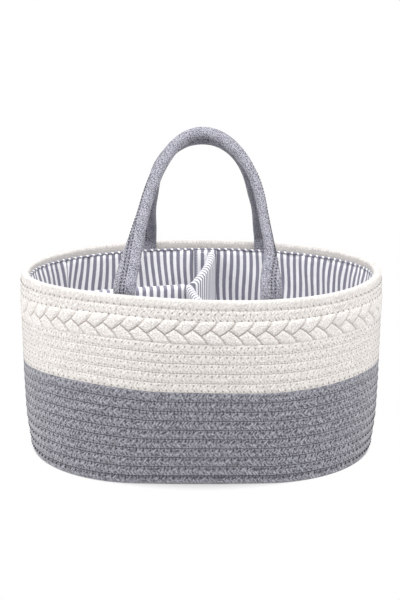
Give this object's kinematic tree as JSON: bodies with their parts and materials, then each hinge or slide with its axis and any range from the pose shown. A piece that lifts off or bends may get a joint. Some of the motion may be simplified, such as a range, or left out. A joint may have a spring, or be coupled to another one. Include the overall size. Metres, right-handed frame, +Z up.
{
  "type": "diaper caddy",
  "caption": "Oval coiled-rope caddy, grey below and cream above with a plait band, striped lining, fold-over handles and a lift-out Y divider with padded leaves.",
  "frame": {"origin": "centre of the base's underside, on the surface that the caddy stands on", "axes": "+X along the basket's length, to the right in the picture; the pictured front faces -Y; +Z up"},
  "size_m": [0.378, 0.247, 0.3379],
  "materials": {
    "grey_rope": "coiled cotton rope, heathered grey, stitched",
    "cream_rope": "coiled cotton rope, natural cream, stitched",
    "striped_cotton": "plain-weave cotton with grey and white ticking stripes",
    "handle_fabric": "heathered grey woven fabric",
    "cord": "twisted cotton cord",
    "board": "stiff pulp board",
    "touch_fastener": "looped nylon strip"
  },
  "bodies": {
    "basket": {"base": "grey_rope", "grey_wall_coil": "grey_rope", "cream_wall_coil": "cream_rope", "plait_band": "cream_rope", "upper_row": "cream_rope", "rim_rope": "cream_rope", "lining_floor": "striped_cotton", "lining_front_panel": "striped_cotton", "lining_rear_panel": "striped_cotton", "lining_binding": "striped_cotton", "front_left_tab": "handle_fabric", "front_right_tab": "handle_fabric", "rear_left_tab": "handle_fabric", "rear_right_tab": "handle_fabric", "rear_loop_strip": "touch_fastener", "side_loop_strip": "touch_fastener", "front_loop_strip": "touch_fastener"},
    "front_handle": {"front_handle_sleeve": "handle_fabric", "front_handle_core": "cord"},
    "rear_handle": {"rear_handle_sleeve": "handle_fabric", "rear_handle_core": "cord"},
    "divider": {"divider_spine": "striped_cotton"},
    "rear_leaf": {"rear_leaf_cover": "striped_cotton", "rear_leaf_board": "board", "rear_leaf_flap": "striped_cotton"},
    "side_leaf": {"side_leaf_cover": "striped_cotton", "side_leaf_board": "board", "side_leaf_flap": "striped_cotton"},
    "front_leaf": {"front_leaf_cover": "striped_cotton", "front_leaf_board": "board", "front_leaf_flap": "striped_cotton"}
  },
  "joints": [
    {"name": "front_handle_fold", "type": "hinge", "parent": "basket", "child": "front_handle", "pos_m": [0, -0.10046, 0.1989], "axis": [1, 0, 0], "range_deg": [0, 130]},
    {"name": "rear_handle_fold", "type": "hinge", "parent": "basket", "child": "rear_handle", "pos_m": [0, 0.1031, 0.1989], "axis": [-1, 0, 0], "range_deg": [0, 130]},
    {"name": "divider_lift", "type": "slide", "parent": "basket", "child": "divider", "axis": [0, 0, 1], "range_m": [0, 0.1]},
    {"name": "rear_leaf_fold", "type": "hinge", "parent": "divider", "child": "rear_leaf", "pos_m": [-0.0124, -0.01, 0.1], "axis": [0, 0, -1], "range_deg": [0, 15]},
    {"name": "side_leaf_fold", "type": "hinge", "parent": "divider", "child": "side_leaf", "pos_m": [-0.0124, -0.01, 0.1], "axis": [0, 0, -1], "range_deg": [0, 35]},
    {"name": "front_leaf_fold", "type": "hinge", "parent": "divider", "child": "front_leaf", "pos_m": [-0.0124, -0.01, 0.1], "axis": [0, 0, 1], "range_deg": [0, 25]}
  ]
}
